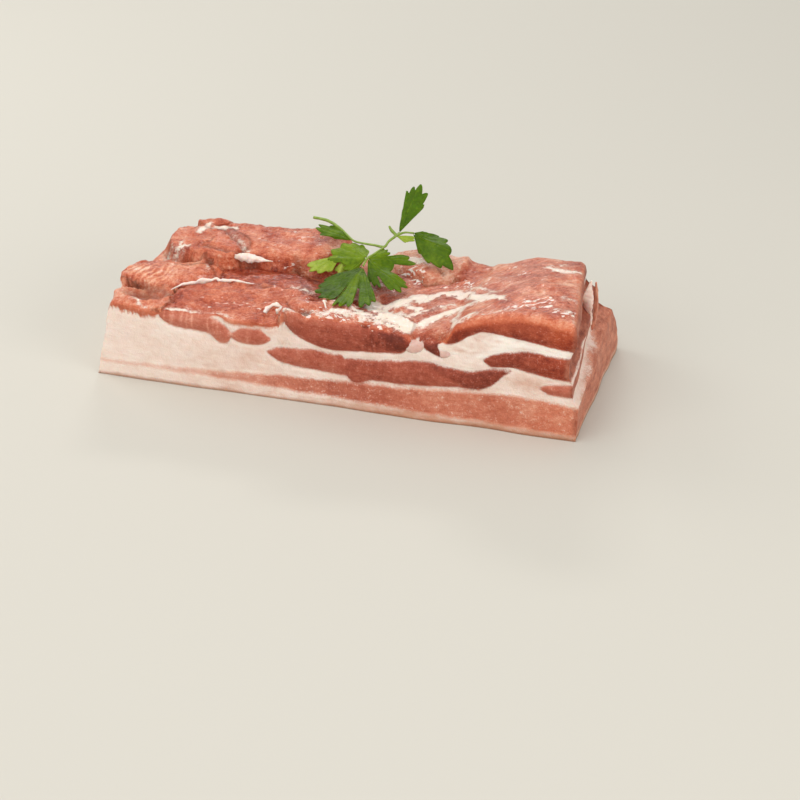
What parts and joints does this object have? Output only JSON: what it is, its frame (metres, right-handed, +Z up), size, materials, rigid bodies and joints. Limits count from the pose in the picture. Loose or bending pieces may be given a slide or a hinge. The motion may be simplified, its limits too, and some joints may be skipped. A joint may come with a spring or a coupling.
{
  "type": "raw pork belly slab with parsley sprig",
  "caption": "Raw pork belly slab lying skin side down, with layered fat and lean on its cut face, loose flaps of meat on top and a sprig of flat-leaf parsley.",
  "frame": {"origin": "centre of the bounding box in plan, on the surface that the skin lies on", "axes": "+X along the slab towards its lean end, -Y out of the cut face that shows the layers, +Z up"},
  "size_m": [0.2454, 0.094, 0.0837],
  "materials": {
    "meat": "raw pork: pink to brownish-red lean and creamy fat in layers, moist, with a soft broken gloss on top and a duller cut face",
    "parsley": "fresh green leaf, half matt, with fine paler veins and yellowish-green stems"
  },
  "bodies": {
    "root": {"pork_belly_slab": "meat", "parsley_sprig": "parsley"}
  },
  "joints": []
}
